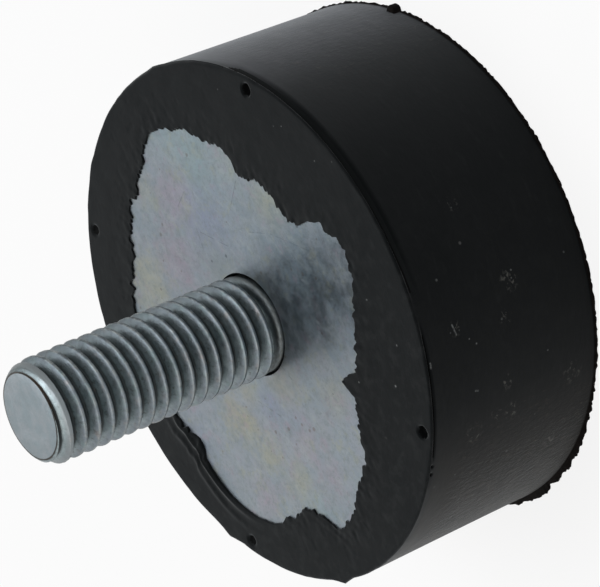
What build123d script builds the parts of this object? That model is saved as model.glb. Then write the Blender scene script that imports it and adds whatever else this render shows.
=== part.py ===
from build123d import *
from math import cos, radians, sin, tan
import os

os.makedirs("parts", exist_ok=True)

# Bobbin vibration mount, stud one end, tapped bush the other.
# Millimetres. It stands on its rear face, with the stud's axis on +Z.

# Rubber block
body_dia = 51.0
body_height = 20.15
skin = 0.2              # rubber over the outer face of each plate
rim_edge = 0.2          # bevel of the block's front edge
rim_wall = 2.2          # rubber round the edge of each plate
lap = 2.2               # how far the moulded edge of each window laps over its plate

# Steel plates, one bonded into each end
plate_thickness = 2.5
plate_edge = 0.4        # chamfered edge of the blanked disc

# M10 stud, its head caught behind the front plate
stud_dia = 10.0         # over the thread's crests
stud_length = 25.0      # beyond the front plate's face
stud_chamfer = 0.9
neck_dia = 9.4          # plain shank through the plate
neck_length = 0.8       # beyond the plate's face, up to the thread
stud_head_dia = 18.0
stud_head_height = 2.4
stud_head_edge = 0.6

# M10 tapped bush, its spigot set through the rear plate
bush_dia = 16.0
bush_height = 8.6       # behind the rear plate
bush_edge = 0.8
spigot_dia = 13.0
tap_drill_dia = 8.5
tap_depth = 6.6         # full wall below the countersink
mouth_dia = 10.6
drill_point = 59.0      # half the included angle of the drill's tip

# Fits
bond = 0.05             # adhesive film between rubber and steel
stud_clearance = 0.075  # the thread's crests through the front plate's hole, at the radius
spigot_clearance = 0.03

# Moulding marks in the front face: pits left by the pins that centre the plate
pit_count = 4
pit_dia = 1.3
pit_depth = 0.7
pit_taper = 25.0        # lean of a pit's wall
pit_wall = 0.25         # rubber left between a pit and the plate's edge
pit_phase = 53.5

# Thin film of rubber that crept over the front plate in the mould. Its torn edge lies in
# from the moulded window edge by a share of the creep: (angle, share).
# Below zero the film is missing and the moulded edge shows.
film_creep = 7.6
torn_edge = [
    (1, 0.18), (4, 0.11), (10, 0.09), (16, 0.14), (25, 0.26), (30, 0.34), (34, 0.34), (36, 0.26),
    (40, 0.33), (50, 0.37), (60, 0.38), (72, 0.26), (109, 0.21), (118, 0.37), (121, 0.26),
    (129, 0.09), (136, -0.03), (141, -0.12), (150, -0.07), (153, 0.00), (159, 0.18), (168, 0.33),
    (172, 0.36), (178, 0.22), (183, 0.08), (189, 0.09), (194, 0.17), (198, 0.30), (205, 0.38),
    (211, 0.41), (217, 0.58), (224, 0.72), (230, 0.78), (233, 1.00), (236, 0.99), (239, 0.83),
    (243, 0.75), (254, 0.67), (264, 0.51), (269, 0.39), (278, 0.25), (282, 0.25), (285, 0.39),
    (289, 0.39), (293, 0.59), (296, 0.76), (301, 0.87), (308, 0.82), (319, 0.70), (326, 0.80),
    (330, 0.72), (334, 0.57), (341, 0.45), (347, 0.39), (355, 0.25),
]

# Undercut just behind the front edge, deepest at one side and fading round the rim
undercut_depth = 0.4
undercut_rise = 0.2     # from its bottom up to the rim, at its deepest
undercut_run = 0.75     # from its bottom back to the side, at its deepest
undercut_below = 0.45   # its bottom below the front face
undercut_angle = 297.0
undercut_half_span = 36.0

# Flash at the rear rim, where the mould parts
flash_thickness = 0.3
flash_width = 0.2
tongue_width = 0.7      # of the flash that the trimming left in one place
# (angle, share of that width), with a split
tongue = [
    (178, 0.0), (182, 0.4), (186, 0.75), (193, 1.0), (195, 0.95), (195.6, 0.1),
    (197, 0.65), (204, 0.75), (210, 0.6), (218, 0.3), (226, 0.0),
]
nub_angle = 329.0
nub_width = 1.1
nub_height = 0.65       # radially, beyond the block
nub_thickness = 0.9

body_r = body_dia / 2
plate_r = body_r - rim_wall
window_r = plate_r - lap
front_plate_z = body_height - skin - plate_thickness   # the plate's inner face
front_face_z = front_plate_z + plate_thickness         # the plate's outer face
rear_face_z = skin
rear_plate_z = rear_face_z + plate_thickness
pit_r = plate_r + bond + pit_wall + pit_dia / 2
mouth_depth = (mouth_dia - tap_drill_dia) / 2
plate_hole_r = stud_dia / 2 + stud_clearance


def polar(angle, radius):
    return (radius * cos(radians(angle)), radius * sin(radians(angle)))


# One moulding: the block, the film over the plates and the flash
with BuildPart() as rubber_body:
    with BuildSketch():
        Circle(body_r)
    extrude(amount=body_height)
    chamfer(rubber_body.edges().sort_by(Axis.Z)[-1], length=rim_edge)

    # undercut, turned about an axis set off from the block's own
    fade = cos(radians(undercut_half_span))
    shift = undercut_depth / (1 - fade)
    bottom_r = body_r + shift * fade
    off_x, off_y = polar(undercut_angle, -shift)
    run_out = 2 * shift
    with BuildSketch(Plane(origin=(off_x, off_y, body_height - undercut_below),
                           x_dir=(1, 0, 0), z_dir=(0, -1, 0))):
        with BuildLine():
            Polyline(
                (bottom_r, 0),
                (bottom_r + run_out, run_out * undercut_rise / undercut_depth),
                (bottom_r + run_out, -run_out * undercut_run / undercut_depth),
                close=True,
            )
        make_face()
    revolve(axis=Axis((off_x, off_y, 0), (0, 0, 1)), mode=Mode.SUBTRACT)

    # flash round the rear rim, its tongue and the sprue's nub
    with BuildSketch():
        Circle(body_r + flash_width)
        with BuildLine():
            Polyline(
                (0, 0),
                *[polar(angle, body_r + flash_width + share * tongue_width) for angle, share in tongue],
                close=True,
            )
        make_face()
    extrude(amount=flash_thickness)
    with BuildSketch():
        with Locations(Location(polar(nub_angle, body_r), nub_angle)):
            Rectangle(2 * nub_height, nub_width)
    extrude(amount=nub_thickness)

    # seat of the front plate and of the stud's head
    with BuildSketch(Plane.XZ):
        with Locations((0, front_plate_z)):
            Rectangle(plate_r + bond, plate_thickness, align=(Align.MIN, Align.MIN))
        chamfer(vertices().group_by(Axis.X)[-1], length=plate_edge)
        with Locations((0, front_plate_z)):
            Rectangle(stud_head_dia / 2 + bond, stud_head_height + bond, align=(Align.MIN, Align.MAX))
    revolve(axis=Axis.Z, mode=Mode.SUBTRACT)

    # seat of the rear plate and of the bush
    with BuildSketch(Plane.XZ):
        with Locations((0, rear_face_z)):
            Rectangle(plate_r + bond, plate_thickness, align=(Align.MIN, Align.MIN))
        chamfer(vertices().group_by(Axis.X)[-1], length=plate_edge)
        with Locations((0, rear_plate_z)):
            Rectangle(bush_dia / 2 + bond, bush_height + bond, align=(Align.MIN, Align.MIN))
    revolve(axis=Axis.Z, mode=Mode.SUBTRACT)

    # rear window, cleanly moulded
    with BuildSketch():
        Circle(window_r)
    extrude(amount=rear_face_z, mode=Mode.SUBTRACT)

    # front window, with the torn edge of the film
    with BuildSketch(Plane.XY.offset(front_face_z)):
        with BuildLine():
            Polyline(
                *[polar(angle, window_r - share * film_creep) for angle, share in torn_edge],
                close=True,
            )
        make_face()
        Circle(window_r, mode=Mode.INTERSECT)
    extrude(amount=skin, mode=Mode.SUBTRACT)

    # pin pits
    with BuildSketch(Plane.XY.offset(body_height)):
        with PolarLocations(pit_r, pit_count, start_angle=pit_phase):
            Circle(pit_dia / 2)
    extrude(amount=-pit_depth, taper=pit_taper, mode=Mode.SUBTRACT)
rubber_body.part.label = "rubber_body"


with BuildPart() as front_plate:
    with BuildSketch(Plane.XY.offset(front_plate_z)):
        Circle(plate_r)
        Circle(plate_hole_r, mode=Mode.SUBTRACT)
    extrude(amount=plate_thickness)
    chamfer(front_plate.faces().filter_by(GeomType.CYLINDER).sort_by(SortBy.AREA)[-1].edges()
            .filter_by(GeomType.CIRCLE), length=plate_edge)
front_plate.part.label = "front_plate"


with BuildPart() as stud:
    with BuildSketch(Plane.XY.offset(front_plate_z)):
        Circle(stud_head_dia / 2)
    extrude(amount=-stud_head_height)
    chamfer(stud.edges().sort_by(Axis.Z)[0], length=stud_head_edge)
    with BuildSketch(Plane.XY.offset(front_plate_z)):
        Circle(neck_dia / 2)
    extrude(amount=plate_thickness + neck_length)
    with BuildSketch(Plane.XY.offset(front_face_z + neck_length)):
        Circle(stud_dia / 2)
    extrude(amount=stud_length - neck_length)
    chamfer(stud.edges().sort_by(Axis.Z)[-1], length=stud_chamfer)
stud.part.label = "stud"


with BuildPart() as rear_plate:
    with BuildSketch(Plane.XY.offset(rear_face_z)):
        Circle(plate_r)
        Circle(spigot_dia / 2 + spigot_clearance, mode=Mode.SUBTRACT)
    extrude(amount=plate_thickness)
    chamfer(rear_plate.faces().filter_by(GeomType.CYLINDER).sort_by(SortBy.AREA)[-1].edges()
            .filter_by(GeomType.CIRCLE), length=plate_edge)
rear_plate.part.label = "rear_plate"


with BuildPart() as tapped_bush:
    with BuildSketch(Plane.XY.offset(rear_face_z)):
        Circle(spigot_dia / 2)
    extrude(amount=plate_thickness)
    with BuildSketch(Plane.XY.offset(rear_plate_z)):
        Circle(bush_dia / 2)
    extrude(amount=bush_height)
    chamfer(tapped_bush.edges().sort_by(Axis.Z)[-1], length=bush_edge)
    # countersunk mouth, tapped wall and the drill's tip, turned as one profile
    with BuildSketch(Plane.XZ):
        with BuildLine():
            tap_r = tap_drill_dia / 2
            wall_z = rear_face_z + mouth_depth
            Polyline(
                (0, rear_face_z),
                (mouth_dia / 2, rear_face_z),
                (tap_r, wall_z),
                (tap_r, wall_z + tap_depth),
                (0, wall_z + tap_depth + tap_r / tan(radians(drill_point))),
                close=True,
            )
        make_face()
    revolve(axis=Axis.Z, mode=Mode.SUBTRACT)
tapped_bush.part.label = "tapped_bush"


export_step(rubber_body.part, "parts/rubber_body.step")
export_step(front_plate.part, "parts/front_plate.step")
export_step(stud.part, "parts/stud.step")
export_step(rear_plate.part, "parts/rear_plate.step")
export_step(tapped_bush.part, "parts/tapped_bush.step")
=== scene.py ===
"""Looks of the bobbin vibration mount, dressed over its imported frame.

The rubber body and the two threads get denser meshes, turned from rings. The plates keep their
CAD meshes. Sizes are in millimetres, with Z up the stud, and are turned to metres in lathe().
"""
import math

import bpy
import numpy as np
from mathutils import Matrix, Vector


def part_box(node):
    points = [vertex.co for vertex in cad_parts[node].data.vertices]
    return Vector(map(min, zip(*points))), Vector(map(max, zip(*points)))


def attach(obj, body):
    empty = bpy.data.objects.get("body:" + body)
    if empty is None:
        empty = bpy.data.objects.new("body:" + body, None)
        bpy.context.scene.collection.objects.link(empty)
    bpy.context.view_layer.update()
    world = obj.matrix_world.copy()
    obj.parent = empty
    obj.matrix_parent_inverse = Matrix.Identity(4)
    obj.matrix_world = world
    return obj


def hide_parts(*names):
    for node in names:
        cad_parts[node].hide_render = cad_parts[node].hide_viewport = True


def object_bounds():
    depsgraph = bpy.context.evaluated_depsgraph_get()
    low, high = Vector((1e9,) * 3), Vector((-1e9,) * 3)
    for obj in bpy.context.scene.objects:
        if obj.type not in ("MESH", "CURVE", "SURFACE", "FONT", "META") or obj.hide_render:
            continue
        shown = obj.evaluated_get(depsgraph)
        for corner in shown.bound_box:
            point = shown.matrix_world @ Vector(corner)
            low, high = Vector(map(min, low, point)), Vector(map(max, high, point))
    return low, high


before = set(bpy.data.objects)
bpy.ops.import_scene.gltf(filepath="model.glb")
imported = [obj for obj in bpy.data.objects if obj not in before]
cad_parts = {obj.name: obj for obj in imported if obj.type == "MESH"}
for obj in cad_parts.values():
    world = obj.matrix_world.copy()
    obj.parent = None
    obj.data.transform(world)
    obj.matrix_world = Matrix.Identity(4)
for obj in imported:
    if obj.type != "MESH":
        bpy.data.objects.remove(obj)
cad_lo, cad_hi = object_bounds()

MM = 0.001


def box_mm(node):
    lo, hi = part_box(node)
    return [v / MM for v in lo], [v / MM for v in hi]


# ---------------------------------------------------------------- sizes, mm
# read from the frame
rubber_hi = box_mm("rubber_body")[1]
front_lo, front_hi = box_mm("front_plate")
rear_lo, rear_hi = box_mm("rear_plate")
stud_lo, stud_hi = box_mm("stud")
bush_hi = box_mm("tapped_bush")[1]

BODY_H = rubber_hi[2]
PLATE_R = front_hi[0]
FRONT_INNER, FRONT_FACE = front_lo[2], front_hi[2]
REAR_FACE, REAR_INNER = rear_lo[2], rear_hi[2]
HEAD_R = stud_hi[0]
HEAD_Z, TIP_Z = stud_lo[2], stud_hi[2]
BUSH_R, BUSH_TOP = bush_hi[0], bush_hi[2]

# as in the part's source
BODY_R = 25.5
BOND = 0.05
LAP = 2.2
WINDOW_R = PLATE_R - LAP
HEAD_EDGE = 0.6
BUSH_EDGE = 0.8
UNDERCUT = 0.4
UNDERCUT_ANGLE = 297.0
UNDERCUT_HALF_SPAN = 36.0
FLASH_T = 0.3
TONGUE_W = 0.7
# (angle, share of the tongue's width), with a split
TONGUE = [
    (178, 0.0), (182, 0.4), (186, 0.75), (193, 1.0), (195, 0.95), (195.6, 0.1),
    (197, 0.65), (204, 0.75), (210, 0.6), (218, 0.3), (226, 0.0),
]
TONGUE_SPLIT = 195.6
NUB_ANGLE = 329.0
NUB_HALF_WIDTH = 0.55
NUB_THICKNESS = 0.9
PIT_HALF = 0.65
PIT_WALL = 0.25
PIT_R = PLATE_R + BOND + PIT_WALL + PIT_HALF
NECK_R = 4.7
SPIGOT_R = 6.5
TAP_R = 4.25
TAP_DEPTH = 6.6
MOUTH_R = 5.3
DRILL_POINT = 59       # half the included angle of the drill's tip

# of the visual model alone
UNDERCUT_TOP, UNDERCUT_BOTTOM, UNDERCUT_END = 0.2, 0.4, 1.2   # below the front face
TONGUE_MIDDLE, TONGUE_HALF = 202, 24.2
NUB_HEIGHT = 0.62
# (angle, depth) of the pits that the centring pins left
PITS = [(53.5, 0.28), (143.5, 0.32), (233.5, 0.68), (323.5, 0.70)]
PITCH = 1.5
STUD_CREST_R, STUD_ROOT_R = 4.95, 4.08
THREAD_SHIFT = 0.64    # puts the thread's turns where the photo has them
MM_PER_DEGREE = 0.0855  # along the thread's crests, for their wear
TIP_FLAT_R = 4.04
TIP_RUN_IN = 1.3       # rounded start of the thread
BUSH_VALLEY_R = 5.05
NECK_LEAN, NECK_LEAN_ANGLE = 0.33, 262.0   # the neck stands to one side in its hole
RIM_BEVEL = 0.15
# spikes of rubber on the front rim: (angle, reach, half width in degrees)
RIM_SPIKES = [(37.3, 0.17, 5), (135.8, 0.4, 5), (176, 0.42, 4), (357, 0.12, 5)]
# a crease behind the rim that carries the undercut on, with its deepest place
CREASE_FROM, CREASE_TO, CREASE_DEEPEST = 227.2, 259, 242.5
CREASE_DEPTH, CREASE_DROP, CREASE_HALF = 0.24, 0.32, 0.13
# blowholes at its end: (angle, share of the crease's depth)
BLOWHOLES = [(226.3, 0.9), (224.3, 1.1)]
BLOWHOLE_HALF = 0.36
BLOWHOLE_MIDDLE = 225.3
# arc of the front window that the film leaves as moulded
MOULDED_MIDDLE, MOULDED_HALF = 140.0, 19.0
LIP_RUN = 0.11         # slope of the film's edge
LIP_END = 118.8        # where the lip beside that arc runs out
LIP_FROM, LIP_TO = 101, 152    # the lip stands proud of the face between these

# torn edge of the rubber film over the front plate: (angle from +X towards +Y, radius)
TORN_EDGE = [
    (1, 19.7), (4, 20.3), (10, 20.4), (15, 20.1), (20, 19.3), (24, 19.0), (26, 19.2), (30, 18.5),
    (33.7, 18.5), (34.8, 19.1), (37.8, 19.1), (41.3, 18.4), (44, 18.7), (50, 18.3), (54.5, 18.1),
    (57.5, 18.3), (62.6, 18.3), (64.6, 18.9), (66, 18.5), (69.7, 19.0), (73, 19.1), (109, 19.5),
    (112, 19.1), (116.4, 18.7), (118.4, 18.3), (120, 18.5), (121, 19.1), (122.5, 19.6),
    (125.5, 20.1), (129.5, 20.5), (133.6, 20.8), (137.6, 21.0), (141.6, 21.1), (145.7, 21.1),
    (149.2, 20.9), (152.7, 20.8), (156, 20.4), (159.3, 19.7), (164, 19.1), (168, 18.6),
    (171.5, 18.4), (174, 18.5), (178.3, 19.4), (181.8, 20.4), (184.8, 20.5), (188.3, 20.4),
    (191, 20.0), (194, 19.8), (198, 18.8), (203, 18.6), (205.5, 18.2), (211, 18.0), (213, 17.7),
    (216.8, 16.7), (223.5, 15.7), (228.5, 15.3), (231, 14.8), (232.4, 13.9), (233.8, 13.5),
    (236.7, 13.7), (238.6, 14.3), (239.6, 15.0), (242.3, 15.4), (252.3, 15.9), (254.3, 16.0),
    (256.3, 16.4), (258.6, 16.8), (260.5, 16.7), (262.6, 17.2), (265, 17.2), (268.7, 18.1),
    (272.4, 18.8), (274.3, 18.6), (278.4, 19.2), (280.3, 19.0), (281.8, 19.2), (283, 18.9),
    (285, 18.1), (289, 18.1), (292.3, 17.0), (295.2, 15.4), (297.2, 15.1), (300.4, 14.5),
    (303, 14.7), (308.3, 14.9), (312.7, 15.3), (319.8, 15.8), (324.4, 15.2), (326.7, 15.0),
    (329, 15.3), (332, 16.2), (333.7, 16.8), (336, 17.1), (337.5, 17.5), (340.7, 17.7),
    (346, 18.1), (352.7, 19.0), (355.3, 19.2), (357, 19.6), (359, 19.5),
]

# spacing of the meshes' points: degrees round the rubber, sides round a thread, mm along it
RUBBER_STEP, RUBBER_FINE_STEP = 0.43, 0.17
FACE_STEPS = 24
STUD_SIDES, STUD_STEP = 172, 0.06
BUSH_SIDES, BUSH_STEP = 128, 0.08

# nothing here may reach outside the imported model's box
CLEAR = 0.002
BOX_LO = np.array(cad_lo) / MM + CLEAR
BOX_HI = np.array(cad_hi) / MM - CLEAR
BOX_LO[2] = 0.0


# ---------------------------------------------------------------- numbers over a circle or a plane
def ease(x):
    x = np.clip(x, 0, 1)
    return x * x * (3 - 2 * x)


def gap_from(deg, centre):
    """Signed angle from centre, -180 to 180."""
    return (deg - centre + 180) % 360 - 180


def hump(x, half):
    """1 at zero, falling smoothly either side."""
    return np.exp(-(x / half) ** 2)


def ring_noise(deg, knots, seed):
    """Smooth noise round a circle, -1 to 1."""
    values = np.random.RandomState(seed).uniform(-1, 1, knots)
    x = (deg % 360) / 360 * knots
    i = np.floor(x).astype(int)
    t = ease(x - i)
    return values[i % knots] * (1 - t) + values[(i + 1) % knots] * t


def grid_noise(x, y, cell, seed):
    """Smooth noise over a plane, -1 to 1, with lumps about one cell across."""
    size = 256
    values = np.random.RandomState(seed).uniform(-1, 1, (size, size))
    u, v = x / cell + 100.0, y / cell + 100.0
    i, j = np.floor(u).astype(int), np.floor(v).astype(int)
    s, t = ease(u - i), ease(v - j)
    i0, i1, j0, j1 = i % size, (i + 1) % size, j % size, (j + 1) % size
    near = values[i0, j0] * (1 - s) + values[i1, j0] * s
    far = values[i0, j1] * (1 - s) + values[i1, j1] * s
    return near * (1 - t) + far * t


def read_table(deg, table):
    """Straight-line reading of (angle, value) pairs round a circle."""
    pts = sorted((a % 360, v) for a, v in table)
    xs = [pts[-1][0] - 360] + [p[0] for p in pts] + [pts[0][0] + 360]
    ys = [pts[-1][1]] + [p[1] for p in pts] + [pts[0][1]]
    return np.interp(deg % 360, xs, ys)


def spread_angles(step, fine_step, fine_spots):
    """Angles round the circle, closer together near the given (centre, half width) spots."""
    probe = np.arange(0, 360, 0.05)
    density = np.full(len(probe), 1 / step)
    for centre, half in fine_spots:
        near = ease((half * 1.5 - np.abs(gap_from(probe, centre))) / (half * 0.5))
        density = np.maximum(density, near / fine_step)
    total = np.concatenate([[0], np.cumsum(density) * 0.05])
    count = int(round(total[-1]))
    return np.interp(np.arange(count) * total[-1] / count, total, np.append(probe, 360.0))


# ---------------------------------------------------------------- meshes
def lathe(name, deg, rings, caps):
    """A closed skin round Z, from rings of (radius, z), each a number or an array over deg.
    caps: z of the centre point that closes each end."""
    n = len(deg)
    turn = np.radians(deg)
    verts = []
    for r, z in rings:
        r = np.broadcast_to(r, n)
        z = np.broadcast_to(z, n)
        verts.append(np.stack([r * np.cos(turn), r * np.sin(turn), z], 1))
    verts.append([[0, 0, caps[0]], [0, 0, caps[1]]])
    verts = np.clip(np.concatenate(verts), BOX_LO, BOX_HI)
    faces = []
    last = (len(rings) - 1) * n
    base = len(rings) * n
    for k in range(n):
        k2 = (k + 1) % n
        faces += [(i * n + k, (i + 1) * n + k, (i + 1) * n + k2, i * n + k2)
                  for i in range(len(rings) - 1)]
        faces += [(base, k, k2), (base + 1, last + k2, last + k)]
    mesh = bpy.data.meshes.new(name)
    mesh.from_pydata([tuple(v) for v in verts * MM], [], faces)
    mesh.validate()
    mesh.update()
    mesh.shade_smooth()
    obj = bpy.data.objects.new(name, mesh)
    bpy.context.scene.collection.objects.link(obj)
    print(name, "triangles", sum(len(p.vertices) - 2 for p in mesh.polygons))
    return obj


# ---------------------------------------------------------------- shader nodes
class Nodes:
    """Short names for the nodes that the materials use. Lengths inside are millimetres."""

    def __init__(self, name):
        self.mat = bpy.data.materials.new(name)
        self.mat.use_nodes = True
        self.tree = self.mat.node_tree
        self.tree.nodes.clear()
        self.out = self.new("OutputMaterial")
        here = self.new("TexCoord").outputs["Object"]
        self.at = self.vector("SCALE", here, scale=1 / MM)
        split = self.new("SeparateXYZ")
        self.link(self.at, split.inputs[0])
        self.x, self.y, self.z = split.outputs
        self.r = self.math("SQRT", self.math("ADD", self.times(self.x, self.x), self.times(self.y, self.y)))
        # the same place unrolled: along the rim, outwards, up
        around = self.math("ARCTAN2", self.x, self.times(self.y, -1.0))
        unroll = self.new("CombineXYZ")
        for socket, value in zip(unroll.inputs, (self.times(around, BODY_R), self.r, self.z)):
            self.link(value, socket)
        self.unrolled = unroll.outputs[0]

    def new(self, kind):
        return self.tree.nodes.new("ShaderNode" + kind)

    def link(self, a, b):
        self.tree.links.new(a, b)

    def put(self, socket, value):
        if isinstance(value, bpy.types.NodeSocket):
            self.link(value, socket)
        elif isinstance(value, tuple) and socket.type == "RGBA":
            socket.default_value = (*value, 1.0)
        else:
            socket.default_value = value

    def math(self, op, a, b=0.0):
        n = self.new("Math")
        n.operation = op
        self.put(n.inputs[0], a)
        self.put(n.inputs[1], b)
        return n.outputs[0]

    def times(self, first, *rest):
        for value in rest:
            first = self.math("MULTIPLY", first, value)
        return first

    def vector(self, op, a, b=(0, 0, 0), scale=1.0):
        n = self.new("VectorMath")
        n.operation = op
        self.put(n.inputs[0], a)
        self.put(n.inputs[1], b)
        self.put(n.inputs[3], scale)      # the socket named Scale, hidden in most operations
        return n.outputs["Value" if op in ("DOT_PRODUCT", "LENGTH", "DISTANCE") else "Vector"]

    def mapping(self, kind, scale, seed, turn=0.0):
        n = self.new("Mapping")
        n.vector_type = kind
        n.inputs["Scale"].default_value = scale
        n.inputs["Rotation"].default_value = (0, 0, turn)
        n.inputs["Location"].default_value = (seed, 2 * seed, 3 * seed)
        return n

    def noise(self, lump, detail=3.0, rough=0.5, longer=(1, 1, 1), turn=0.0, seed=0.0, unrolled=False):
        """Noise with lumps that many millimetres across, 0 to 1, drawn out along turned axes."""
        m = self.mapping("TEXTURE", [lump * v for v in longer], seed, turn)
        self.link(self.unrolled if unrolled else self.at, m.inputs["Vector"])
        n = self.new("TexNoise")
        n.inputs["Scale"].default_value = 1.0
        n.inputs["Detail"].default_value = detail
        n.inputs["Roughness"].default_value = rough
        self.link(m.outputs[0], n.inputs["Vector"])
        return n.outputs["Fac"]

    def specks(self, spacing, size, share, seed):
        """Scattered specks, 1 inside and 0 outside. share of the cells hold one."""
        m = self.mapping("POINT", [1 / spacing] * 3, seed)
        self.link(self.at, m.inputs["Vector"])
        n = self.new("TexVoronoi")
        n.inputs["Scale"].default_value = 1.0
        self.link(m.outputs[0], n.inputs["Vector"])
        pick = self.new("SeparateColor")
        self.link(n.outputs["Color"], pick.inputs[0])
        reach = self.span(pick.outputs[1], 0, 1, 0.35 * size / spacing, size / spacing)
        near = self.math("DIVIDE", n.outputs["Distance"], reach)
        inside = self.math("SUBTRACT", 1.0, self.span(near, 0.6, 1.0))
        return self.times(inside, self.math("LESS_THAN", pick.outputs[0], share))

    def away(self, a, b, reach):
        """Distance from the short line a to b, as a share of reach."""
        run = [q - p for p, q in zip(a, b)]
        long2 = sum(v * v for v in run)
        if long2 < 0.01:
            return self.math("DIVIDE", self.vector("DISTANCE", self.at, tuple(a)), reach)
        rel = self.vector("SUBTRACT", self.at, tuple(a))
        along = self.vector("DOT_PRODUCT", rel, tuple(v / long2 for v in run))
        along = self.math("MINIMUM", self.math("MAXIMUM", along, 0.0), 1.0)
        foot = self.vector("SCALE", tuple(run), scale=along)
        return self.math("DIVIDE", self.vector("DISTANCE", rel, foot), reach)

    def marks(self, lines):
        """1 on short lines (a, b, reach) and 0 beyond their reach."""
        nearest = self.away(*lines[0])
        for line in lines[1:]:
            nearest = self.math("MINIMUM", nearest, self.away(*line))
        return self.span(nearest, 0.35, 1.0, 1.0, 0.0)

    def span(self, value, a, b, c=0.0, d=1.0):
        """c where value is a, d where it is b, eased between them."""
        n = self.new("MapRange")
        n.interpolation_type = "SMOOTHSTEP"
        for key, v in (("Value", value), ("From Min", a), ("From Max", b), ("To Min", c), ("To Max", d)):
            self.put(n.inputs[key], v)
        return n.outputs[0]

    def mix(self, fac, a, b):
        n = self.new("Mix")
        n.data_type = "RGBA"
        self.put(n.inputs[0], fac)
        self.put(n.inputs[6], a)          # the colour sockets A and B
        self.put(n.inputs[7], b)
        return n.outputs[2]

    def bump(self, height, depth, under=None):
        """Relief that deep, in millimetres."""
        n = self.new("Bump")
        n.inputs["Strength"].default_value = 1.0
        n.inputs["Distance"].default_value = depth * MM
        self.put(n.inputs["Height"], height)
        if under is not None:
            self.link(under, n.inputs["Normal"])
        return n.outputs["Normal"]

    def surface(self, color, rough, normal, **constants):
        n = self.new("BsdfPrincipled")
        self.put(n.inputs["Base Color"], color)
        self.put(n.inputs["Roughness"], rough)
        self.link(normal, n.inputs["Normal"])
        for key, v in constants.items():
            self.put(n.inputs[key.replace("_", " ")], v)
        self.link(n.outputs[0], self.out.inputs["Surface"])
        return self.mat


def at_angle(deg, r, z):
    return (r * math.cos(math.radians(deg)), r * math.sin(math.radians(deg)), z)


# ---------------------------------------------------------------- rubber
RUBBER_ROUGH = (0.46, 0.58)
RUBBER_SPEC = 0.015
SHEEN = 0.31
SHEEN_ROUGH = 0.46
SHEEN_TINT = (0.92, 0.97, 1.0)
RUBBER_LOW = (0.0012, 0.0020, 0.0024)
RUBBER_HIGH = (0.0026, 0.0034, 0.0038)
RUBBER_SMEAR = (0.0080, 0.0095, 0.0098)
RUBBER_BLOOM_AND_LIGHT = (0.0120, 0.0132, 0.0136)
RUBBER_STAIN = (0.0015, 0.0018, 0.0020)
RUBBER_FLECK_SHEEN = (0.140, 0.118, 0.097)
DUST_AND_SHEEN_BLUISH = (0.046, 0.046, 0.053)
DUST_AND_SHEEN_WARM = (0.022, 0.019, 0.016)
SPECK = (0.14, 0.14, 0.14)
SCUFF = (0.17, 0.18, 0.18)
RUBBED = (0.100, 0.100, 0.092)
TRIM_LOW = (0.0022, 0.0018, 0.0016)
TRIM_HIGH = (0.0060, 0.0046, 0.0040)
GROOVE_SHADE = (0.0012, 0.0014, 0.0015)
GROOVE_SLOPE_SHEEN = (0.0095, 0.0110, 0.0115)
TRIM_ROUGH = 0.6
TRIM_SPEC = 0.03

# pale scuffs on the rubber's side: (angle, z, angle, z, reach)
SIDE_SCUFFS = [
    (254.9, 16.45, 252.7, 16.2, 0.11), (253.5, 16.8, 253.5, 16.8, 0.10), (253.3, 15.8, 253.3, 15.8, 0.10),
    (264.3, 16.7, 264.3, 16.7, 0.17), (260.4, 8.6, 260.4, 8.6, 0.13), (258.9, 8.8, 258.9, 8.8, 0.11),
    (251.9, 10.9, 251.9, 10.9, 0.15), (250.8, 14.9, 250.8, 14.9, 0.10), (249.3, 14.2, 249.3, 14.2, 0.12),
    (241.4, 6.1, 241.4, 6.1, 0.11), (249.4, 19.6, 248.3, 19.6, 0.11), (239.7, 14.9, 239.5, 14.6, 0.12),
    (227.6, 7.5, 227.6, 7.5, 0.12), (259.5, 2.3, 259.5, 2.3, 0.14), (276.3, 12.2, 276.3, 12.2, 0.10),
]
# rubbed places: (angle, z, reach)
SIDE_RUBS = [
    (254.0, 16.2, 0.9), (258.6, 9.2, 1.3), (252.0, 10.5, 0.9), (232.0, 12.4, 0.9), (231.4, 10.6, 1.1),
    (238.5, 11.2, 1.0), (230.0, 15.0, 1.3), (217.8, 4.8, 1.2), (234.0, 3.1, 1.4), (277.0, 12.0, 0.8),
]
# specks on the front face: (angle, radius, reach)
FACE_SPECKS = [
    (333.5, 23.2, 0.10), (298.9, 23.0, 0.12), (294.8, 24.8, 0.12), (264.6, 19.5, 0.15), (252.8, 22.0, 0.15),
    (242.0, 20.9, 0.17), (237.8, 15.8, 0.13), (313.5, 22.5, 0.10), (311.0, 23.1, 0.10),
]


def dust_and_sheen_the_side(m, base):
    """Dust and painted sheen on the rubber's side, bluish towards +X and warm towards -X where the light
    grazes it.
    """
    side = m.times(m.span(m.r, BODY_R - 0.4, BODY_R - 0.1), m.span(m.z, BODY_H - 0.3, BODY_H - 1.2))
    cloud = m.noise(1.6, 5, 0.65, longer=(2.5, 1, 1), unrolled=True)
    dust_and_sheen = m.times(side, m.span(cloud, 0.3, 0.7, 0.6, 1.0))
    base = m.mix(m.times(dust_and_sheen, m.span(m.x, 17.0, 24.5)), base, DUST_AND_SHEEN_BLUISH)
    return m.mix(m.times(dust_and_sheen, m.span(m.x, -13.0, -25.0)), base, DUST_AND_SHEEN_WARM)


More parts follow.
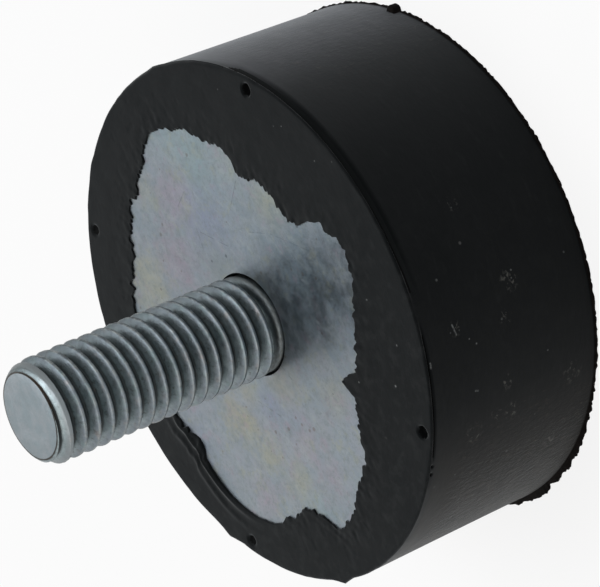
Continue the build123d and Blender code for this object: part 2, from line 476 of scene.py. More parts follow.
def mark_the_rubber(m, base):
    """Stray specks, then the scuffs, specks and rubbed places that the photo shows."""
    for share, size, strength in ((0.05, 0.20, 0.4), (0.03, 0.34, 0.15)):
        base = m.mix(m.times(m.specks(1.9, size, share, seed=size), strength), base, SPECK)
    scuffs = m.marks(
        [(at_angle(a0, BODY_R, z0), at_angle(a1, BODY_R, z1), w) for a0, z0, a1, z1, w in SIDE_SCUFFS]
        + [(at_angle(a, r, BODY_H), at_angle(a, r, BODY_H), w) for a, r, w in FACE_SPECKS])
    broken = m.span(m.noise(0.25, 2, 0.6), 0.35, 0.6, 0.3, 1.0)
    base = m.mix(m.times(scuffs, m.times(broken, 0.75)), base, SCUFF)
    rubs = m.marks([(at_angle(a, BODY_R, z), at_angle(a, BODY_R, z), w) for a, z, w in SIDE_RUBS])
    hair = m.span(m.noise(0.40, 3, 0.65, longer=(1.3, 1, 1), seed=8.0, unrolled=True), 0.53, 0.66)
    return m.mix(m.times(rubs, m.times(hair, 0.75)), base, RUBBED)


def rubber_material():
    m = Nodes("rubber")
    base = m.mix(m.span(m.noise(5.5, 4, 0.6), 0.35, 0.68), RUBBER_LOW, RUBBER_HIGH)
    # smears drawn out round the side, bloom mostly on the front face and lighter towards -X as painted
    # light, and darker stains
    smear = m.span(m.noise(0.8, 4, 0.65, longer=(3.5, 1, 1), unrolled=True), 0.54, 0.76)
    base = m.mix(m.times(smear, 0.5), base, RUBBER_SMEAR)
    bloom_and_light = m.times(m.span(m.noise(1.3, 5, 0.72, seed=15.0), 0.47, 0.66), m.span(m.x, 14.0, -10.0, 0.3, 1.0))
    on_face = m.span(m.z, BODY_H - 0.6, BODY_H - 0.2, 0.16, 0.60)
    base = m.mix(m.times(bloom_and_light, on_face), base, RUBBER_BLOOM_AND_LIGHT)
    stains = m.span(m.noise(1.1, 4, 0.65, seed=7.0), 0.60, 0.74)
    base = m.mix(m.times(stains, 0.6), base, RUBBER_STAIN)
    # pale flecks where the light rakes the side: painted sheen on scratches
    flecks = m.noise(0.5, 4, 0.7, longer=(1, 1, 2.2), seed=4.0, unrolled=True)
    raked_sheen = m.times(m.span(m.y, -22.0, -13.0), m.span(m.z, BODY_H - 1.5, BODY_H - 5.0),
                    m.span(m.x, 0.0, -8.0, 0.35, 1.0))
    base = m.mix(m.times(m.span(flecks, 0.56, 0.70), raked_sheen, 0.7), base, RUBBER_FLECK_SHEEN)
    base = dust_and_sheen_the_side(m, base)
    base = mark_the_rubber(m, base)
    rough = m.span(m.noise(2.2, 4, 0.6), 0.3, 0.7, *RUBBER_ROUGH)
    normal = m.bump(m.noise(0.5, 3, 0.6, longer=(2, 1, 1), unrolled=True), 0.012)
    normal = m.bump(m.times(flecks, raked_sheen), 0.12, normal)
    return m.surface(base, rough, normal, Specular_IOR_Level=RUBBER_SPEC, Sheen_Weight=SHEEN,
                     Sheen_Roughness=SHEEN_ROUGH, Sheen_Tint=SHEEN_TINT)


def trim_material():
    """Dull dark rubber: the flash, the nub, the pits and the undercut. The pits and the undercut are
    darkened as painted shade, and the undercut's lower slope is paler as painted sheen.
    """
    m = Nodes("rubber_trim")
    base = m.mix(m.span(m.noise(0.6, 3, 0.6), 0.35, 0.65), TRIM_LOW, TRIM_HIGH)
    up = m.span(m.z, BODY_H / 2, BODY_H - 1)
    # painted shade: the upper trim, in the undercut and the pits, darker
    base = m.mix(up, base, GROOVE_SHADE)
    # painted sheen: the undercut's lower slope paler
    slope_sheen = m.times(m.span(m.r, 24.8, 24.9), m.span(m.z, BODY_H - 0.48, BODY_H - 0.58), up)
    base = m.mix(slope_sheen, base, GROOVE_SLOPE_SHEEN)
    normal = m.bump(m.noise(0.4, 3, 0.6), 0.02)
    return m.surface(base, TRIM_ROUGH, normal, Specular_IOR_Level=TRIM_SPEC)


# ---------------------------------------------------------------- zinc-plated steel
PLATE_LOW = (0.222, 0.258, 0.288)
PLATE_HIGH = (0.250, 0.272, 0.300)
HUE_PINK = (0.270, 0.222, 0.262)
HUE_GREEN = (0.262, 0.272, 0.208)
PLATE_STREAK = (0.305, 0.335, 0.335)
PLATE_MOTTLE = (0.165, 0.195, 0.200)
PLATE_GRAIN = (0.140, 0.165, 0.170)
RUST_SPECK = (0.115, 0.095, 0.075)
DARK_SPECK = (0.060, 0.065, 0.070)
SCRATCH = (0.09, 0.10, 0.11)
PLATE_SHADE = (0.020, 0.045, 0.065)
PLATE_ROUGH = (0.34, 0.46)
BELOW_STUD = (-7.5, 2.5, FRONT_FACE)

STEEL_TEAL = (0.160, 0.206, 0.216)
STEEL_BLUE = (0.172, 0.200, 0.224)
STEEL_GREY = (0.206, 0.204, 0.206)
FLANK_LIGHT = (0.262, 0.312, 0.325)
STEEL_SHADE = (0.030, 0.038, 0.042)
STEEL_MOTTLE = (0.100, 0.122, 0.125)
WORN_CREST = (0.215, 0.235, 0.235)
VALLEY_SHADE = (0.040, 0.050, 0.052)
VALLEY_FLOOR_SHADE = (0.014, 0.017, 0.018)
GRIME = (0.040, 0.038, 0.034)
STEEL_ROUGH = (0.34, 0.48)
NECK_SHADE = (0.058, 0.064, 0.064)
TIP_LOW = (0.186, 0.224, 0.242)
TIP_HIGH = (0.220, 0.248, 0.266)
TIP_STAIN = (0.16, 0.19, 0.20)
TIP_RIDGE_HIGHLIGHT = (0.225, 0.245, 0.250)
TIP_DIRT = (0.035, 0.028, 0.022)

# soft stains in the plate's passivation, one of them painted reflection: (x, y, reach, colour, strength)
PLATE_TINTS = [
    (16.5, -1.0, 7.0, (0.213, 0.290, 0.297), 0.60), (13.8, 3.6, 4.2, (0.278, 0.236, 0.284), 0.75),
    (8.0, 7.6, 4.2, (0.278, 0.237, 0.278), 0.70), (10.0, 0.0, 4.6, (0.208, 0.234, 0.312), 0.80),
    (7.2, 14.0, 4.2, (0.305, 0.305, 0.240), 0.80), (15.4, 8.4, 2.4, (0.287, 0.293, 0.255), 0.60),
    (9.3, -10.7, 3.2, (0.289, 0.296, 0.224), 0.75), (14.6, -7.5, 3.0, (0.262, 0.294, 0.269), 0.50),
    # the wide dark teal tint at (3.0, -10.5) is painted reflection, widening the stud's dark reflection on
    # the plate
    (6.0, 1.0, 3.6, (0.201, 0.227, 0.231), 0.70), (3.0, -10.5, 7.5, (0.146, 0.191, 0.224), 0.75),
    (-4.2, -15.3, 4.0, (0.219, 0.271, 0.316), 0.70), (-6.3, -1.1, 3.0, (0.253, 0.250, 0.217), 0.80),
    (-7.4, 8.6, 2.8, (0.298, 0.285, 0.207), 0.65), (-9.3, 7.2, 2.4, (0.297, 0.291, 0.207), 0.65),
    (-12.1, 5.6, 2.6, (0.292, 0.285, 0.210), 0.65), (-15.3, 2.4, 2.6, (0.286, 0.286, 0.214), 0.60),
    (-5.9, 4.7, 2.0, (0.291, 0.279, 0.220), 0.50), (-8.9, -8.4, 2.6, (0.285, 0.282, 0.223), 0.50),
    (-7.7, 2.2, 2.2, (0.210, 0.236, 0.314), 0.70), (-10.0, -0.5, 2.6, (0.217, 0.248, 0.303), 0.60),
    (-12.0, -1.2, 2.6, (0.278, 0.243, 0.278), 0.60), (-15.5, -2.9, 2.6, (0.269, 0.243, 0.278), 0.50),
    (-16.0, 8.5, 2.6, (0.274, 0.245, 0.279), 0.60), (-8.8, 16.3, 3.6, (0.212, 0.246, 0.303), 0.60),
    (-19.2, 1.3, 2.8, (0.213, 0.282, 0.304), 0.60), (-12.0, -12.0, 4.0, (0.215, 0.251, 0.298), 0.50),
]
# fine dark scratches: (x, y, x, y)
PLATE_SCRATCHES = [
    (10.3, 2.3, 7.6, 2.6), (9.8, 1.9, 7.5, -1.6), (7.9, -5.8, 7.2, -8.1), (6.9, -9.0, 4.3, -13.4),
    (-4.6, -2.2, -7.6, -3.8), (-6.9, 3.9, -9.0, 1.2), (12.6, -7.0, 10.4, -4.2), (13.9, 1.8, 12.9, 3.8),
]


def stain_the_plate(m, base):
    """The seen stains and one painted reflection, with warped edges, and finer patches of pink and green
    between them.
    """
    warp = m.times(m.math("SUBTRACT", m.noise(1.8, 5, 0.7, seed=3.0), 0.5), 2.6)
    for x, y, reach, color, strength in PLATE_TINTS:
        rel = m.vector("MULTIPLY", m.vector("SUBTRACT", m.at, (x, y, 0.0)), (1, 1, 0))
        far = m.math("ADD", m.math("DIVIDE", m.vector("LENGTH", rel), reach), warp)
        base = m.mix(m.span(far, 0.0, 1.25, strength, 0.0), base, color)
    hue = m.noise(1.9, 5, 0.72, seed=12.0)
    base = m.mix(m.span(hue, 0.53, 0.68, 0.0, 0.5), base, HUE_PINK)
    return m.mix(m.span(hue, 0.47, 0.32, 0.0, 0.5), base, HUE_GREEN)


def plate_material():
    m = Nodes("zinc_plate")
    base = m.mix(m.span(m.noise(4.0, 3, 0.6), 0.36, 0.64), PLATE_LOW, PLATE_HIGH)
    base = stain_the_plate(m, base)
    # cloudy grain, with streaks across it
    streak = m.noise(0.8, 4, 0.65, longer=(3.0, 1, 1), turn=math.radians(35))
    base = m.mix(m.span(streak, 0.45, 0.72, 0.0, 0.40), base, PLATE_STREAK)
    mottle = m.noise(0.8, 5, 0.7, seed=5.0)
    base = m.mix(m.span(mottle, 0.44, 0.74, 0.0, 0.60), base, PLATE_MOTTLE)
    grain = m.noise(0.30, 3, 0.65, seed=9.0)
    base = m.mix(m.span(grain, 0.48, 0.76, 0.0, 0.50), base, PLATE_GRAIN)
    # brownish pin specks, thicker below the stud, and dark dots
    below = m.vector("LENGTH", m.vector("SUBTRACT", m.at, BELOW_STUD))
    rust = m.specks(0.8, 0.26, m.span(below, 3.0, 9.0, 0.30, 0.05), seed=2.0)
    base = m.mix(m.times(rust, 0.55), base, RUST_SPECK)
    base = m.mix(m.times(m.specks(2.2, 0.26, 0.16, seed=4.0), 0.7), base, DARK_SPECK)
    lines = m.marks([((x0, y0, FRONT_FACE), (x1, y1, FRONT_FACE), 0.07)
                     for x0, y0, x1, y1 in PLATE_SCRATCHES])
    broken = m.span(m.noise(0.6, 2, 0.6, seed=6.0), 0.35, 0.6)
    base = m.mix(m.times(lines, broken, 0.5), base, SCRATCH)
    # painted shade: darker towards +X
    base = m.mix(m.span(m.x, -14.0, 6.0, 0.12, 0.27), base, PLATE_SHADE)
    rough = m.span(m.noise(1.6, 4, 0.6), 0.3, 0.7, *PLATE_ROUGH)
    normal = m.bump(m.noise(0.5, 4, 0.65), 0.012)
    return m.surface(base, rough, normal, Metallic=1.0)


def steel_base(m, valley_r, crest_r):
    """Colour of zinc on a thread: valleys darkened as painted shade, flanks paler as painted light, worn
    crests, with grime.
    """
    def up_to(share):
        return valley_r + share * (crest_r - valley_r)

    tint = m.noise(1.3, 4, 0.65)
    base = m.mix(m.span(tint, 0.35, 0.5), STEEL_TEAL, STEEL_BLUE)
    base = m.mix(m.span(tint, 0.54, 0.70), base, STEEL_GREY)
    # painted light: the flanks paler towards the valley, against their shade
    base = m.mix(m.span(m.r, up_to(0.12), up_to(0.85), 1.0, 0.0), base, FLANK_LIGHT)
    # painted shade: darker towards +X
    base = m.mix(m.span(m.x, 0.8, 3.8, 0.0, 0.60), base, STEEL_SHADE)
    mottle = m.noise(0.5, 4, 0.7, seed=5.0)
    base = m.mix(m.span(mottle, 0.42, 0.72, 0.0, 0.5), base, STEEL_MOTTLE)
    patches = m.span(m.noise(0.6, 3, 0.6, seed=6.0), 0.4, 0.62)
    worn = m.times(m.span(m.r, crest_r - 0.12, crest_r), patches)
    base = m.mix(m.times(worn, 0.8), base, WORN_CREST)
    # painted shade in the valleys
    base = m.mix(m.times(m.span(m.r, up_to(0.02), up_to(0.27), 1.0, 0.0), 0.55), base, VALLEY_SHADE)
    base = m.mix(m.times(m.span(m.r, up_to(0.02), up_to(0.12), 1.0, 0.0), 0.9), base, VALLEY_FLOOR_SHADE)
    grime = m.span(m.noise(0.40, 4, 0.7, seed=2.0), 0.55, 0.66)
    grime = m.times(grime, m.span(m.r, valley_r, crest_r, 1.0, 0.35))
    return m.mix(m.times(grime, 0.65), base, GRIME)


def steel_surface(m, base):
    rough = m.span(m.noise(0.9, 4, 0.6), 0.3, 0.7, *STEEL_ROUGH)
    normal = m.bump(m.noise(0.32, 4, 0.7), 0.018)
    return m.surface(base, rough, normal, Metallic=1.0)


def stud_material():
    m = Nodes("zinc_stud")
    base = steel_base(m, STUD_ROOT_R, STUD_CREST_R - 0.02)
    # the neck, darker near the plate as painted shade, broken by noise
    neck_shade_mask = m.span(m.noise(0.7, 4, 0.7, longer=(1, 1, 0.25), seed=1.0), 0.38, 0.6, 0.7, 1.0)
    base = m.mix(m.times(m.span(m.z, FRONT_FACE + 0.95, FRONT_FACE + 0.4), neck_shade_mask), base, NECK_SHADE)
    # the cut tip, pale
    flat = m.times(m.span(m.z, TIP_Z - 0.06, TIP_Z - 0.03), m.span(m.r, 3.98, 4.06, 1.0, 0.0))
    pale = m.mix(m.span(m.noise(1.2, 4, 0.6, seed=8.0), 0.35, 0.65), TIP_LOW, TIP_HIGH)
    pale = m.mix(m.span(m.noise(0.4, 4, 0.65, seed=3.0), 0.5, 0.75, 0.0, 0.35), pale, TIP_STAIN)
    base = m.mix(flat, base, pale)
    # the thread's first ridge, paler as a painted highlight, and the dirt in the step round the tip
    ridge_highlight = m.times(m.span(m.z, TIP_Z - 1.55, TIP_Z - 1.2), m.span(m.r, 4.35, 4.62))
    base = m.mix(m.times(ridge_highlight, 0.55), base, TIP_RIDGE_HIGHLIGHT)
    from_step = m.math("ABSOLUTE", m.math("SUBTRACT", m.r, 4.10))
    step = m.times(m.span(from_step, 0.02, 0.12, 1.0, 0.0), m.span(m.z, TIP_Z - 0.35, TIP_Z - 0.2),
                   m.span(m.noise(0.5, 3, 0.7, seed=5.0), 0.30, 0.52))
    base = m.mix(m.times(step, 0.9), base, TIP_DIRT)
    return steel_surface(m, base)


def bush_material():
    m = Nodes("zinc_bush")
    return steel_surface(m, steel_base(m, BUSH_VALLEY_R + 0.05, TAP_R + 0.15))


def dress(obj, *mats):
    obj.data.materials.clear()
    for mat in mats:
        obj.data.materials.append(mat)


def from_pit(deg, r, angle):
    """Distance of a place on the front face from the pit at that angle."""
    a = np.radians(gap_from(deg, angle))
    return np.hypot(r * np.cos(a) - PIT_R, r * np.sin(a))


def trim_faces(obj):
    """Second material on the flash, the nub, the pits and the undercut."""
    for face in obj.data.polygons:
        x, y, z = face.center / MM
        r, deg = math.hypot(x, y), math.degrees(math.atan2(y, x))
        flash = r > BODY_R + 0.03 and z < NUB_THICKNESS + 0.1
        groove = 24.9 < r < BODY_R - 0.06 and BODY_H - 0.95 < z < BODY_H - 0.22
        in_pit = BODY_H - 1.0 < z < BODY_H - 0.16 and 22.5 < r < 25.0 and any(
            from_pit(deg, r, angle) < PIT_HALF for angle, _ in PITS)
        face.material_index = 1 if flash or groove or in_pit else 0


# ---------------------------------------------------------------- rubber body
def window_edge(deg):
    """Radius of the front window, how ragged it is, its slope's run, and where it is moulded."""
    edge = read_table(deg, TORN_EDGE)
    moulded = ease((MOULDED_HALF - np.abs(gap_from(deg, MOULDED_MIDDLE))) / 4.0)
    ragged = (0.10 * ring_noise(deg, 110, 3) + 0.17 * ring_noise(deg, 240, 5)
              + 0.26 * ring_noise(deg, 420, 8))
    ragged = ragged * (1 - 0.93 * moulded)
    run = LIP_RUN + 0.75 * hump(deg - LIP_END, 4.0)
    return edge, ragged, run, moulded


def front_rim(deg):
    """Radius of the front rim with its spikes, and the bevel inside it."""
    rim_r = BODY_R + 0.03 * ring_noise(deg, 60, 11) + 0.02 * ring_noise(deg, 200, 12)
    for centre, reach, half in RIM_SPIKES:
        rim_r = rim_r + reach * np.clip(1 - np.abs(gap_from(deg, centre)) / half, 0, 1) ** 1.5
    bevel = RIM_BEVEL + 0.10 * ease((32 - np.abs(gap_from(deg, 346))) / 22) + 0.03 * ring_noise(deg, 90, 13)
    return rim_r, bevel


def undercut(deg):
    """Depth of the undercut, and of the crease that carries it on."""
    fade = math.cos(math.radians(UNDERCUT_HALF_SPAN))
    cut = UNDERCUT / (1 - fade) * (np.cos(np.radians(gap_from(deg, UNDERCUT_ANGLE))) - fade)
    cut = np.clip(cut, 0, None)
    cut = cut * (1 + 0.12 * ring_noise(deg, 130, 14))
    crease = ease((deg - CREASE_FROM) / 2.5) * ease((CREASE_TO - deg) / 6)
    crease = crease * (0.55 + 0.45 * hump(deg - CREASE_DEEPEST, 6.0))
    for angle, share in BLOWHOLES:
        crease = crease + share * hump(deg - angle, BLOWHOLE_HALF)
    return cut, crease


def flash(deg):
    """How far the flash with its tongue, and the nub, stand out from the side."""
    fin = 0.04 + 0.20 * np.abs(ring_noise(deg, 300, 21)) + 0.10 * np.clip(ring_noise(deg, 430, 22), 0, 1)
    tongue = read_table(deg, TONGUE) * (np.abs(gap_from(deg, TONGUE_MIDDLE)) < TONGUE_HALF)
    fin = fin + tongue * (TONGUE_W - 0.02) + 0.09 * ease(tongue / 0.2) * ring_noise(deg, 330, 23)
    fin = np.clip(fin, 0.03, None)
    across = gap_from(deg, NUB_ANGLE) / math.degrees(NUB_HALF_WIDTH / BODY_R)
    nub = NUB_HEIGHT * np.sqrt(np.clip(1 - np.abs(across) ** 3, 0, 1))
    return fin, nub * (1 + 0.12 * np.clip(across, -1, 1))


def face_rings(deg, edge, ragged, run, moulded):
    """Rings up the window's edge and out over the front face."""
    turn = np.radians(deg)
    # the lip raised beside the moulded arc
    lip = ease((deg - LIP_FROM) / 11) * ease((LIP_TO - deg) / 30)

    def relief(r):
        """Height of the front face against its plane."""
        x, y = r * np.cos(turn), r * np.sin(turn)
        from_edge = r - edge
        past = np.clip(from_edge, 0, None)
        z = lip * (0.27 * hump(from_edge - run - 0.30, 0.34) + 0.10 * hump(from_edge - run - 1.75, 0.35)
                   - 0.05 * hump(from_edge - run - 1.1, 0.4))
        z = z + 0.012 * grid_noise(x, y, 1.7, 41) - 0.012
        z = z + 0.045 * np.exp(-past / 1.6) * (1 - moulded) * grid_noise(x, y, 0.55, 42)
        dents = np.clip(grid_noise(x, y, 0.8, 43) - 0.55, 0, 1) * np.exp(-past / 3.0)
        z = z - 0.14 * dents * (1 - moulded)
        for angle, depth in PITS:
            z = z - depth * ease((1.18 * PIT_HALF - from_pit(deg, r, angle)) / (0.80 * PIT_HALF))
        return z

    rings = []
    top = BODY_H + relief(edge + run + ragged * 0.65)
    for out, up, rag in ((0, 0, 1), (0.04, 0.35, 0.95), (0.22, 0.72, 0.85), (0.55, 0.93, 0.75)):
        rings.append((edge + run * out + ragged * rag, FRONT_FACE + (top - FRONT_FACE) * up))
    for i in range(FACE_STEPS + 1):
        s = (PLATE_R - edge - run) * (i / FACE_STEPS) ** 1.45
        r = edge + run + s + ragged * 0.65 * np.exp(-s / 0.3)
        rings.append((r, BODY_H + relief(r)))
    for r in np.arange(PLATE_R + 0.12, 25.0, 0.13):
        rings.append((np.full(len(deg), r), BODY_H + relief(r)))
    return rings


def side_rings(deg, rim_r, bevel, cut, crease):
    """Rings over the front rim and down the side, through the undercut."""
    rings = []
    for back, drop in ((1.7, 0.0), (1.0, 0.06), (0.55, 0.30), (0.2, 0.66), (0.0, 1.0)):
        rings.append((rim_r - bevel * back, BODY_H - 0.012 - bevel * drop))
    for drop in (0.205, 0.25, 0.32, 0.40, 0.55, 0.66, 0.78, 0.90, 1.02, 1.2, 1.45):
        if drop < UNDERCUT_BOTTOM:
            share = np.clip((drop - UNDERCUT_TOP) / (UNDERCUT_BOTTOM - UNDERCUT_TOP), 0, 1)
        else:
            share = 1 - np.clip((drop - UNDERCUT_BOTTOM) / (UNDERCUT_END - UNDERCUT_BOTTOM), 0, 1) ** 1.3
        pinch = CREASE_DEPTH * crease * max(0.0, 1 - abs(drop - CREASE_DROP) / CREASE_HALF)
        spike = (rim_r - BODY_R) * max(0.0, 1 - drop / 0.5)
        rings.append((BODY_R + spike - cut * share - pinch, BODY_H - drop))
    for z in np.linspace(BODY_H - 1.9, 1.2, 11):
        sway = 0.025 * ring_noise(deg, 9, 31) * math.sin(z / BODY_H * math.pi)
        rings.append((BODY_R + sway, z))
    return rings


def foot_rings(fin, nub):
    """Rings round the nub and the flash at the rear rim."""
    rings = [(BODY_R, 0.98), (BODY_R, NUB_THICKNESS + 0.03)]
    rings += [(BODY_R + nub * share, z) for z, share in (
        (0.87, 0.86), (0.74, 1.0), (0.55, 1.0), (FLASH_T + 0.12, 0.97))]
    rings += [(BODY_R + np.maximum(out, low), z) for out, low, z in (
        (0.02, nub, FLASH_T), (fin * 0.9, nub, FLASH_T * 0.8),
        (fin, nub, FLASH_T * 0.45), (fin * 0.85, nub * 0.97, 0.02))]
    return rings + [(BODY_R - 0.1, 0.0)]


def rubber_piece():
    fine = [(a, 2.0) for a, _ in PITS[2:]] + [(TONGUE_SPLIT, 2.2), (NUB_ANGLE, 1.8), (BLOWHOLE_MIDDLE, 1.6)]
    deg = spread_angles(RUBBER_STEP, RUBBER_FINE_STEP, fine)
    edge, ragged, run, moulded = window_edge(deg)
    head_r, plate_r, bush_r = HEAD_R + BOND, PLATE_R + BOND, BUSH_R + BOND
    rings = [
        (head_r, HEAD_Z - BOND), (head_r, FRONT_INNER), (plate_r, FRONT_INNER),
        (plate_r, FRONT_FACE), (WINDOW_R + 0.6, FRONT_FACE),
    ]
    rings += face_rings(deg, edge, ragged, run, moulded)
    rings += side_rings(deg, *front_rim(deg), *undercut(deg))
    rings += foot_rings(*flash(deg))
    # the rear face, its window and the inside
    rings += [(r, 0.0) for r in (24.5, 23.3, 22.2, WINDOW_R + 0.12)]
    rings += [
        (WINDOW_R + 0.03, 0.03), (WINDOW_R, 0.08), (WINDOW_R, REAR_FACE), (plate_r, REAR_FACE),
        (plate_r, REAR_INNER), (bush_r, REAR_INNER), (bush_r, BUSH_TOP + BOND),
    ]
    return lathe("rubber_skin", deg, rings, (HEAD_Z - BOND, BUSH_TOP + BOND))


# ---------------------------------------------------------------- threads
def thread_share(phase, crest_half, root_half):
    """0 at the thread's crest, 1 at its root, for a phase of 0 at the crest's middle."""
    x = np.abs((phase + 0.5) % 1 - 0.5)
    t = np.clip((x - crest_half) / (0.5 - root_half - crest_half), 0, 1)
    return 0.85 * t + 0.15 * ease(t)


def stud_piece():
    deg = np.arange(STUD_SIDES) * 360 / STUD_SIDES
    arc = deg * MM_PER_DEGREE
    neck = NECK_R + NECK_LEAN * (0.5 + 0.5 * np.cos(np.radians(gap_from(deg, NECK_LEAN_ANGLE)))) ** 2
    flat_r = TIP_FLAT_R + 0.05 * ring_noise(deg, 14, 65)
    rings = [
        (HEAD_R - HEAD_EDGE, HEAD_Z), (HEAD_R, HEAD_Z + HEAD_EDGE), (HEAD_R, FRONT_INNER),
        (NECK_R + 0.15, FRONT_INNER), (NECK_R, FRONT_INNER + 0.15), (neck, FRONT_FACE - 0.6),
        (neck, FRONT_FACE),
    ]
    start = FRONT_FACE + 0.05
    for z in np.arange(start, TIP_Z - 0.03, STUD_STEP):
        share = thread_share((z + THREAD_SHIFT) / PITCH - deg / 360, 0.07, 0.08)
        r = STUD_CREST_R - (STUD_CREST_R - STUD_ROOT_R) * share
        height = np.full(STUD_SIDES, z)
        r = r + 0.018 * grid_noise(arc, height, 0.5, 61)
        nick = np.clip(grid_noise(arc, height, 0.8, 62) - 0.55, 0, 1)
        r = r - 0.10 * nick * (1 - share)
        rise = ease((z - start) / 0.9)
        r = neck + (r - neck) * rise
        # rounded run-in at the tip, with rolling marks
        depth = TIP_Z - z
        into = math.sin(min(depth / TIP_RUN_IN, 1) * math.pi / 2) ** 0.8
        cone = flat_r + 0.06 + 0.78 * into + max(0.0, depth - TIP_RUN_IN)
        cone = cone + 0.03 * math.sin(depth * 2 * math.pi / 0.24) * math.exp(-depth / 0.45)
        rings.append((np.minimum(r, cone), z))
    rings += [
        (flat_r + 0.04, TIP_Z - 0.035), (flat_r, TIP_Z - 0.03), (flat_r - 0.10, TIP_Z),
        (flat_r * 0.6, TIP_Z - 0.01), (flat_r * 0.2, TIP_Z - 0.015),
    ]
    return lathe("stud_thread", deg, rings, (HEAD_Z, TIP_Z - 0.015))


def bush_piece():
    deg = np.arange(BUSH_SIDES) * 360 / BUSH_SIDES
    wall_end = REAR_FACE + (MOUTH_R - TAP_R) + TAP_DEPTH
    tip = wall_end + TAP_R / math.tan(math.radians(DRILL_POINT))
    rings = [
        (BUSH_R - BUSH_EDGE, BUSH_TOP), (BUSH_R, BUSH_TOP - BUSH_EDGE), (BUSH_R, REAR_INNER),
        (SPIGOT_R, REAR_INNER), (SPIGOT_R, REAR_FACE + 0.15), (SPIGOT_R - 0.15, REAR_FACE),
        (MOUTH_R + 0.15, REAR_FACE), (MOUTH_R, REAR_FACE + 0.03),
    ]
    for z in np.arange(REAR_FACE + 0.08, wall_end - 0.3, BUSH_STEP):
        share = thread_share(z / PITCH - deg / 360, 0.08, 0.10)
        runout = ease((wall_end - 0.6 - z) / 1.2)
        r = TAP_R + (BUSH_VALLEY_R - TAP_R) * share * runout
        rings.append((np.maximum(r, MOUTH_R - (z - REAR_FACE)), z))
    rings += [(TAP_R, wall_end), (TAP_R * 0.5, wall_end + (tip - wall_end) * 0.5)]
    return lathe("bush_thread", deg, rings, (BUSH_TOP, tip))


# ---------------------------------------------------------------- floor, lights, camera
FLOOR_HALF = 3.0       # metres
FLOOR_DROP = 0.03      # mm, just clear of the flat underside
FLOOR_GLOW = 0.85      # share of plain white that the camera and reflections see in the floor
WORLD_LIGHT = 0.20
BOX_DISTANCE, BOX_SIZE = 0.7, 0.5          # metres
AIM_Z = 0.015                              # metres, height that the softboxes face
# (name, direction, watts, colour)
SOFTBOXES = [
    ("key", (0.34, 0.06, 0.94), 2.7, (0.97, 0.98, 1.0)),
    ("fill", (-0.47, -0.17, 0.87), 1.1, (1.0, 0.95, 0.90)),
    ("back", (0.41, 0.49, 0.77), 1.2, (0.94, 0.96, 1.0)),
    ("side", (-1.0, 0.0, 0.14), 0.55, (1.0, 0.91, 0.82)),
]
# the camera, solved from the photo: its place from the front face's centre, in body radii
LENS, SENSOR = 174.65, 36.0
CAMERA_PLACE = (0.0358, -8.980, 5.685)
CAMERA_RIGHT = (-0.38204, -0.51021, -0.77054)
CAMERA_UP = (0.92415, -0.21092, -0.31854)
CAMERA_BACK = (0.0, -0.83379, 0.55208)


def floor_material():
    """Pale grey that gives the floor its shadow, mixed with white for the camera."""
    m = Nodes("floor")
    diffuse = m.new("BsdfDiffuse")
    shade = m.mix(m.span(m.noise(120.0, 2), 0.3, 0.7), (0.80, 0.80, 0.80), (0.82, 0.82, 0.82))
    m.put(diffuse.inputs["Color"], shade)
    glow = m.new("Emission")
    glow.inputs["Color"].default_value = (1, 1, 1, 1)
    path = m.new("LightPath").outputs
    seen = m.math("MAXIMUM", path["Is Glossy Ray"], path["Is Transmission Ray"])
    seen = m.math("MAXIMUM", path["Is Camera Ray"], seen)
    mix = m.new("MixShader")
    m.link(m.times(seen, FLOOR_GLOW), mix.inputs[0])
    m.link(diffuse.outputs[0], mix.inputs[1])
    m.link(glow.outputs[0], mix.inputs[2])
    m.link(mix.outputs[0], m.out.inputs["Surface"])
    return m.mat


def add_floor():
    half, z = FLOOR_HALF, -FLOOR_DROP * MM
    mesh = bpy.data.meshes.new("floor")
    corners = [(-half, -half, z), (half, -half, z), (half, half, z), (-half, half, z)]
    mesh.from_pydata(corners, [], [(0, 1, 2, 3)])
    floor = bpy.data.objects.new("floor", mesh)
    bpy.context.scene.collection.objects.link(floor)
    dress(floor, floor_material())


def add_softbox(name, towards, power, color):
    """A square softbox in that direction from the object, facing it."""
    way = Vector(towards).normalized()
    data = bpy.data.lights.new(name, "AREA")
    data.shape = "SQUARE"
    data.size = BOX_SIZE
    data.energy = power
    data.color = color
    obj = bpy.data.objects.new(name, data)
    obj.location = Vector((0, 0, AIM_Z)) + way * BOX_DISTANCE
    obj.rotation_mode = "QUATERNION"
    obj.rotation_quaternion = (-way).to_track_quat("-Z", "Y")
    bpy.context.scene.collection.objects.link(obj)


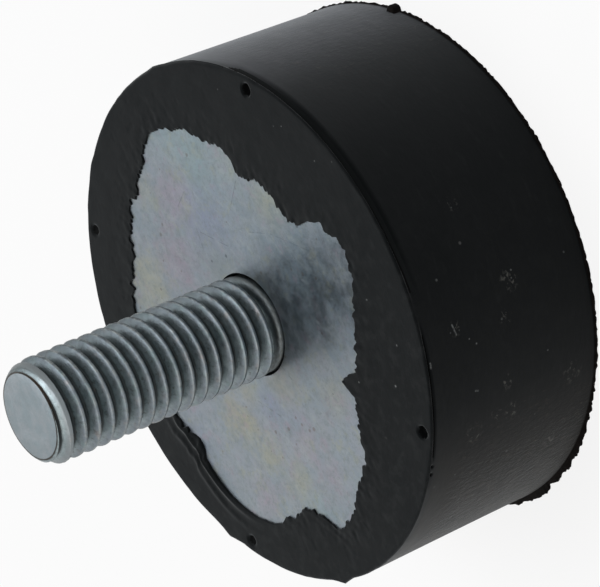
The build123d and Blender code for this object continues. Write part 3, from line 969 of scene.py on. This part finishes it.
def add_world(strength):
    """Even light of that strength, seen as white by the camera and in reflections."""
    world = bpy.data.worlds.new("studio")
    bpy.context.scene.world = world
    world.use_nodes = True
    tree = world.node_tree
    tree.nodes.clear()
    out = tree.nodes.new("ShaderNodeOutputWorld")
    mix = tree.nodes.new("ShaderNodeMixShader")
    either = tree.nodes.new("ShaderNodeMath")
    either.operation = "MAXIMUM"
    path = tree.nodes.new("ShaderNodeLightPath")
    tree.links.new(path.outputs["Is Camera Ray"], either.inputs[0])
    tree.links.new(path.outputs["Is Glossy Ray"], either.inputs[1])
    tree.links.new(either.outputs[0], mix.inputs[0])
    for slot, level in ((1, strength), (2, 1.0)):
        light = tree.nodes.new("ShaderNodeBackground")
        light.inputs["Color"].default_value = (1, 1, 1, 1)
        light.inputs["Strength"].default_value = level
        tree.links.new(light.outputs[0], mix.inputs[slot])
    tree.links.new(mix.outputs[0], out.inputs["Surface"])


def add_camera():
    data = bpy.data.cameras.new("camera")
    data.sensor_width = SENSOR
    data.lens = LENS
    data.clip_start = 0.01
    data.clip_end = 20
    cam = bpy.data.objects.new("camera", data)
    bpy.context.scene.collection.objects.link(cam)
    place = Vector(CAMERA_PLACE) * BODY_R * MM + Vector((0, 0, BODY_H * MM))
    turn = Matrix((CAMERA_RIGHT, CAMERA_UP, CAMERA_BACK)).transposed()
    cam.matrix_world = Matrix.Translation(place) @ turn.to_4x4()
    bpy.context.scene.camera = cam


# ---------------------------------------------------------------- the part and its stage
RUBBER = rubber_material()
TRIM = trim_material()
PLATE = plate_material()
STEEL = stud_material()
BUSH = bush_material()

for make, mats, slot, node in (
        (rubber_piece, (RUBBER, TRIM), "rubber", "rubber_body"),
        (stud_piece, (STEEL,), "zinc_stud", "stud"),
        (bush_piece, (BUSH,), "zinc_bush", "tapped_bush")):
    piece = make()
    dress(piece, *mats)
    if TRIM in mats:
        trim_faces(piece)
    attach(piece, "root")
    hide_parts(node)

for node in ("front_plate", "rear_plate"):
    dress(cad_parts[node], PLATE)

add_floor()
for box in SOFTBOXES:
    add_softbox(*box)
add_world(WORLD_LIGHT)
add_camera()
bpy.context.scene.view_settings.view_transform = "Standard"
